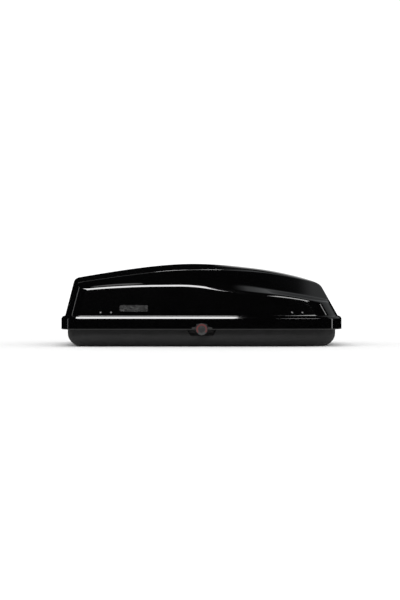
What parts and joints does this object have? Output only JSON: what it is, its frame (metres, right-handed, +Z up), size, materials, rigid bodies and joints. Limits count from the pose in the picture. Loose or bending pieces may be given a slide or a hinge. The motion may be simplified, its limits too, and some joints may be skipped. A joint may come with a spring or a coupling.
{
  "type": "roof cargo box",
  "caption": "Hard-shell roof cargo box: drafted glossy lid hinged on a shallow tray, gas struts, central key lock with sliding bolts, slotted rails for roof bars.",
  "frame": {"origin": "middle of the box's footprint, on the tray's underside", "axes": "+X to the nose, -Y to the side that opens, +Z up"},
  "size_m": [1.3399, 0.79, 0.39],
  "materials": {
    "lid_gloss": "high gloss black",
    "tray_plastic": "fine grained matt dark grey",
    "stiffener_plastic": "matt black",
    "zinc_steel": "zinc plated",
    "rod_alloy": "mill finish",
    "rivet_metal": "satin",
    "black_rivets": "satin black",
    "hinge_steel": "black coated steel",
    "bright_steel": "polished",
    "strut_black": "semi gloss black",
    "bracket_steel": "zinc plated",
    "lock_grey": "satin grey",
    "lock_red": "satin red",
    "lock_black": "matt black",
    "barrel_chrome": "satin chrome",
    "guide_plastic": "matt",
    "plate_grey": "satin grey, no marking"
  },
  "bodies": {
    "tray": {"hinge_front_tray_leaf": "hinge_steel", "hinge_middle_tray_leaf": "hinge_steel", "hinge_pins": "bright_steel", "hinge_rear_tray_leaf": "hinge_steel", "hinge_tray_rivets": "rivet_metal", "lock_housing": "lock_black", "lock_indicator": "lock_red", "lock_ring": "lock_grey", "rail_left": "zinc_steel", "rail_right": "zinc_steel", "rail_rivets": "rivet_metal", "rod_guide_front_1": "guide_plastic", "rod_guide_front_2": "guide_plastic", "rod_guide_rear_1": "guide_plastic", "rod_guide_rear_2": "guide_plastic", "strut_front_tray_bracket": "bracket_steel", "strut_rear_tray_bracket": "bracket_steel", "strut_tray_rivets": "rivet_metal", "tray": "tray_plastic"},
    "lid": {"catch_front": "bracket_steel", "catch_front_rivets": "black_rivets", "catch_rear": "bracket_steel", "catch_rear_rivets": "black_rivets", "hinge_front_lid_leaf": "hinge_steel", "hinge_lid_rivets": "black_rivets", "hinge_middle_lid_leaf": "hinge_steel", "hinge_rear_lid_leaf": "hinge_steel", "lid": "lid_gloss", "lid_stiffener": "stiffener_plastic", "name_plate": "plate_grey", "strut_front_lid_bracket": "bracket_steel", "strut_lid_rivets": "black_rivets", "strut_rear_lid_bracket": "bracket_steel"},
    "strut_rear_tube": {"strut_rear_tube": "strut_black"},
    "strut_rear_rod": {"strut_rear_rod": "bright_steel"},
    "strut_front_tube": {"strut_front_tube": "strut_black"},
    "strut_front_rod": {"strut_front_rod": "bright_steel"},
    "key_barrel": {"lock_barrel": "barrel_chrome", "lock_cam": "zinc_steel"},
    "rod_front": {"lock_rod_front": "rod_alloy"},
    "rod_rear": {"lock_rod_rear": "rod_alloy"}
  },
  "joints": [
    {"name": "lid_hinge", "type": "hinge", "parent": "tray", "child": "lid", "pos_m": [0, 0.381, 0.098], "axis": [-1, 0, 0], "range_deg": [0, 50]},
    {"name": "strut_rear_swing", "type": "hinge", "parent": "tray", "child": "strut_rear_tube", "pos_m": [-0.5, 0.27344, 0.06716], "axis": [-1, 0, 0], "range_deg": [0, 25]},
    {"name": "strut_rear_slide", "type": "slide", "parent": "strut_rear_tube", "child": "strut_rear_rod", "axis": [0, 0.4204, 0.9073], "range_m": [0, 0.05782]},
    {"name": "strut_front_swing", "type": "hinge", "parent": "tray", "child": "strut_front_tube", "pos_m": [0.355, 0.27344, 0.06716], "axis": [-1, 0, 0], "range_deg": [0, 25]},
    {"name": "strut_front_slide", "type": "slide", "parent": "strut_front_tube", "child": "strut_front_rod", "axis": [0, 0.4204, 0.9073], "range_m": [0, 0.05782]},
    {"name": "key_turn", "type": "hinge", "parent": "tray", "child": "key_barrel", "pos_m": [0, -0.39, 0.08], "axis": [0, 1, 0], "range_deg": [0, 90]},
    {"name": "rod_front_slide", "type": "slide", "parent": "tray", "child": "rod_front", "axis": [1, 0, 0], "range_m": [0, 0.01698]},
    {"name": "rod_rear_slide", "type": "slide", "parent": "tray", "child": "rod_rear", "axis": [-1, 0, 0], "range_m": [0, 0.01698]}
  ],
  "couplings": [
    {"joint": "strut_rear_swing", "follows": "lid_hinge", "ratio": 0.5},
    {"joint": "strut_rear_slide", "follows": "lid_hinge", "m_per_rad": 0.066243},
    {"joint": "strut_front_swing", "follows": "lid_hinge", "ratio": 0.5},
    {"joint": "strut_front_slide", "follows": "lid_hinge", "m_per_rad": 0.066243},
    {"joint": "rod_front_slide", "follows": "key_turn", "m_per_rad": 0.010804},
    {"joint": "rod_rear_slide", "follows": "key_turn", "m_per_rad": 0.010804}
  ]
}
